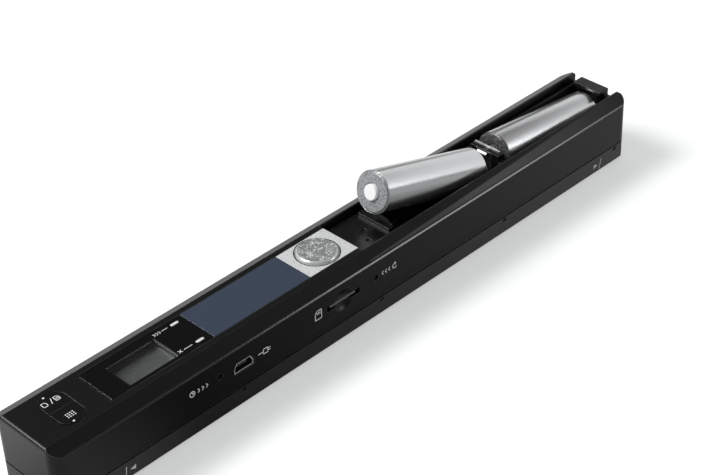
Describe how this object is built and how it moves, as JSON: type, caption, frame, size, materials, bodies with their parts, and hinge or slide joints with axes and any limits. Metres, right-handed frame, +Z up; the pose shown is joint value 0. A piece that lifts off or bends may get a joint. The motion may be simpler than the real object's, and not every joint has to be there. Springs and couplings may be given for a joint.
{
  "type": "hand-held photo scanner",
  "caption": "Long slim hand-held document scanner with a display strip and round scan button, its cell bay open and the cells tipped up out of it.",
  "frame": {"origin": "centre of the bounding box at its lowest plane, which is the plane the feet stand on", "axes": "+X along the body from the display end to the cell end, +Y from the front face with the sockets to the back, +Z up"},
  "size_m": [0.256, 0.0296, 0.0429],
  "materials": {
    "shell_black": "satin black moulded plastic",
    "lens_black": "glossy black lens with a clear window",
    "panel_blue": "glossy slate blue",
    "plate_silver": "fine satin sparkle",
    "button_silver": "satin top, polished bevel",
    "key_black": "satin black",
    "light_clear": "clear light pipe",
    "window_clear": "clear pane, polished",
    "display_grey": "grey display glass in a dark frame",
    "board_green": "green solder resist",
    "chip_black": "moulded chip",
    "led_cream": "cream light-emitting chip",
    "tin": "bright tin plate",
    "spring_wire": "bright wire",
    "tray_black": "deep black moulded plastic",
    "card_black": "moulded card",
    "cell_metal": "grey metal with a bright terminal",
    "cell_wrap": "silver-grey printed film",
    "scan_glass": "clear float glass",
    "sensor_black": "dark moulded bar",
    "rod_clear": "clear lens rod",
    "shaft_steel": "ground shaft",
    "rubber_black": "dull rubber",
    "acetal_white": "off-white low-friction plastic",
    "screw_steel": "plated steel"
  },
  "bodies": {
    "housing": {"upper_shell": "shell_black", "bottom_shell": "shell_black", "display_lens": "lens_black", "display_window": "window_clear", "display_module": "display_grey", "blue_panel": "panel_blue", "button_plate": "plate_silver", "status_lights": "light_clear", "key_board": "board_green", "scan_switch": "chip_black", "key_switches": "chip_black", "led_chips": "led_cream", "main_board": "board_green", "board_chips": "chip_black", "usb_socket": "tin", "usb_tongue": "chip_black", "card_socket": "tin", "side_switches": "chip_black", "battery_tray": "tray_black", "positive_contact": "tin", "link_contact": "tin", "end_contact": "tin", "spring_1": "spring_wire", "spring_2": "spring_wire", "scan_glass": "scan_glass", "sensor_bar": "sensor_black", "lens_rod": "rod_clear", "rear_bearings": "acetal_white", "front_bearings": "acetal_white", "encoder_bracket": "chip_black", "encoder_sensor": "chip_black", "case_screws": "screw_steel", "board_screws": "screw_steel"},
    "scan_button": {"scan_button": "button_silver"},
    "page_key": {"page_key": "key_black"},
    "resolution_key": {"resolution_key": "key_black"},
    "time_pin": {"time_pin": "acetal_white"},
    "format_pin": {"format_pin": "acetal_white"},
    "memory_card": {"memory_card": "card_black"},
    "cell_1": {"cell_1_can": "cell_metal", "cell_1_jacket": "cell_wrap"},
    "cell_2": {"cell_2_can": "cell_metal", "cell_2_jacket": "cell_wrap"},
    "rear_roller": {"rear_shaft": "shaft_steel", "rear_sleeves": "rubber_black", "roller_gear": "acetal_white"},
    "front_roller": {"front_shaft": "shaft_steel", "front_sleeves": "rubber_black"},
    "encoder": {"encoder_wheel": "acetal_white"}
  },
  "joints": [
    {"name": "scan_button_press", "type": "slide", "parent": "housing", "child": "scan_button", "axis": [0, 0, -1], "range_m": [0, 0.0007], "stiffness_N_per_m": 100, "springref_m": -0.003},
    {"name": "page_key_press", "type": "slide", "parent": "housing", "child": "page_key", "axis": [0, 0, -1], "range_m": [0, 0.0004], "stiffness_N_per_m": 60, "springref_m": -0.003},
    {"name": "resolution_key_press", "type": "slide", "parent": "housing", "child": "resolution_key", "axis": [0, 0, -1], "range_m": [0, 0.0004], "stiffness_N_per_m": 60, "springref_m": -0.003},
    {"name": "time_pin_press", "type": "slide", "parent": "housing", "child": "time_pin", "axis": [0, 1, 0], "range_m": [0, 0.00025], "stiffness_N_per_m": 60, "springref_m": -0.003},
    {"name": "format_pin_press", "type": "slide", "parent": "housing", "child": "format_pin", "axis": [0, 1, 0], "range_m": [0, 0.00025], "stiffness_N_per_m": 60, "springref_m": -0.003},
    {"name": "memory_card_slide", "type": "slide", "parent": "housing", "child": "memory_card", "axis": [0, -1, 0], "range_m": [0, 0.013]},
    {"name": "cell_1_lift", "type": "hinge", "parent": "housing", "child": "cell_1", "pos_m": [0.0628, 0, 0.0291], "axis": [0.0122, 0.9999, 0], "range_deg": [0, 45]},
    {"name": "cell_2_lift", "type": "hinge", "parent": "housing", "child": "cell_2", "pos_m": [0.1216, 0, 0.0248], "axis": [0, 1, 0], "range_deg": [-6.6, 40], "deforming": ["spring_2"]},
    {"name": "rear_roller_turn", "type": "hinge", "parent": "housing", "child": "rear_roller", "pos_m": [0, 0.0086, 0.0033], "axis": [1, 0, 0], "continuous": true},
    {"name": "front_roller_turn", "type": "hinge", "parent": "housing", "child": "front_roller", "pos_m": [0, -0.0086, 0.0033], "axis": [1, 0, 0], "continuous": true},
    {"name": "encoder_turn", "type": "hinge", "parent": "housing", "child": "encoder", "pos_m": [0, 0.00307, 0.0069], "axis": [1, 0, 0], "continuous": true}
  ],
  "couplings": [
    {"joint": "encoder_turn", "follows": "rear_roller_turn", "ratio": -0.65}
  ]
}
